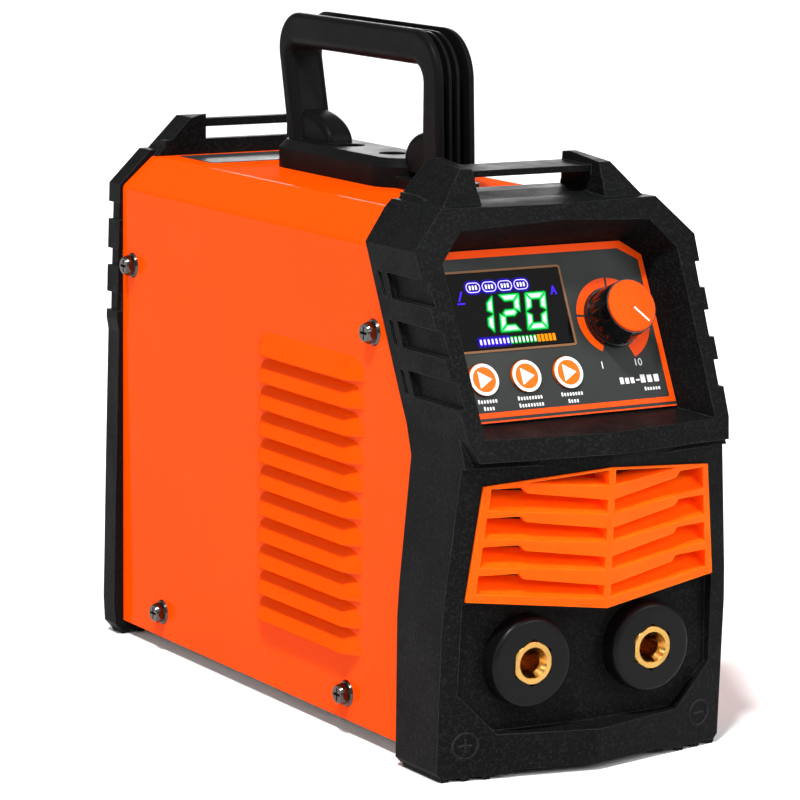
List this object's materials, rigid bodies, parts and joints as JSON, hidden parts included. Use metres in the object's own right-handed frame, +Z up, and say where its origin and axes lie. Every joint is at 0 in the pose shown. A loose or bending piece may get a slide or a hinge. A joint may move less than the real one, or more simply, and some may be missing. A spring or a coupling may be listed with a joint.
{
  "type": "stick welding inverter",
  "caption": "Portable stick welding inverter: orange louvred steel case between black bumpers, sloping control panel with display and knob, brass output sockets, carrying handle.",
  "frame": {"origin": "under the middle of the machine, on the surface that it stands on", "axes": "+Z up, -Y towards the control panel and output sockets, +X to the right of a person facing the panel"},
  "size_m": [0.1326, 0.3264, 0.2813],
  "materials": {
    "casing_orange": "glossy orange enamel",
    "screw_black": "black-nickel plated",
    "bumper_black": "moulded, fine texture",
    "grille_orange": "moulded, satin",
    "overlay_black": "printed film with an orange border",
    "window_black": "smoked, glossy",
    "module_black": "moulded",
    "board_green": "solder mask",
    "plated_steel": "zinc plated",
    "knob_black": "moulded, ribbed",
    "knob_orange": "satin",
    "pointer_white": "white",
    "button_orange": "domed, glossy with a white ring",
    "socket_black": "glass-filled, turned",
    "brass": "turned",
    "copper": "rolled copper",
    "handle_black": "moulded, fine texture",
    "fan_black": "moulded",
    "switch_black": "moulded",
    "gland_black": "nylon",
    "heatsink_aluminium": "extruded",
    "capacitor_black": "shrink sleeve",
    "ferrite": "sintered",
    "winding_tape": "polyester tape",
    "choke_yellow": "enamelled wire over a powder core",
    "label_grey": "plain film"
  },
  "bodies": {
    "machine": {"casing_cover": "casing_orange", "casing_screws": "screw_black", "front_moulding": "bumper_black", "front_grille": "grille_orange", "control_overlay": "overlay_black", "display_window": "window_black", "display_module": "module_black", "control_board": "board_green", "tact_switches": "module_black", "potentiometer": "plated_steel", "potentiometer_nut": "plated_steel", "positive_socket_body": "socket_black", "negative_socket_body": "socket_black", "positive_socket_insert": "brass", "negative_socket_insert": "brass", "socket_nuts": "plated_steel", "positive_output_bar": "copper", "negative_output_bar": "copper", "handle": "handle_black", "handle_screws": "screw_black", "handle_nuts": "plated_steel", "rear_moulding": "bumper_black", "fan_frame": "fan_black", "fan_screws": "screw_black", "power_switch_body": "switch_black", "cable_gland": "gland_black", "gland_cap": "gland_black", "gland_nut": "gland_black", "chassis_base": "plated_steel", "board_standoffs": "plated_steel", "board_screws": "plated_steel", "power_board": "board_green", "transistor_heatsink": "heatsink_aluminium", "diode_heatsink": "heatsink_aluminium", "power_transistors": "module_black", "output_diodes": "module_black", "bridge_rectifier": "module_black", "bus_capacitors": "capacitor_black", "transformer_core": "ferrite", "transformer_winding": "winding_tape", "transformer_feet": "module_black", "output_choke": "choke_yellow", "choke_cradle": "module_black", "top_label": "label_grey"},
    "knob": {"knob_body": "knob_black", "knob_cap": "knob_orange", "knob_pointer": "pointer_white", "potentiometer_shaft": "plated_steel"},
    "mode_key": {"mode_button": "button_orange"},
    "electrode_key": {"electrode_button": "button_orange"},
    "function_key": {"function_button": "button_orange"},
    "rocker": {"power_rocker": "switch_black"},
    "impeller": {"fan_rotor": "fan_black"}
  },
  "joints": [
    {"name": "current_knob_turn", "type": "hinge", "parent": "machine", "child": "knob", "pos_m": [0.028, -0.11576, 0.17232], "axis": [0, -0.9015, 0.4327], "range_deg": [-20, 286]},
    {"name": "mode_press", "type": "slide", "parent": "machine", "child": "mode_key", "axis": [0, 0.9015, -0.4327], "range_m": [0, 0.001], "stiffness_N_per_m": 300},
    {"name": "electrode_press", "type": "slide", "parent": "machine", "child": "electrode_key", "axis": [0, 0.9015, -0.4327], "range_m": [0, 0.001], "stiffness_N_per_m": 300},
    {"name": "function_press", "type": "slide", "parent": "machine", "child": "function_key", "axis": [0, 0.9015, -0.4327], "range_m": [0, 0.001], "stiffness_N_per_m": 300},
    {"name": "power_rocker_tilt", "type": "hinge", "parent": "machine", "child": "rocker", "pos_m": [-0.027, 0.1475, 0.176], "axis": [1, 0, 0], "range_deg": [0, 18]},
    {"name": "fan_spin", "type": "hinge", "parent": "machine", "child": "impeller", "pos_m": [0, 0.133, 0.08], "axis": [0, 1, 0], "continuous": true}
  ]
}
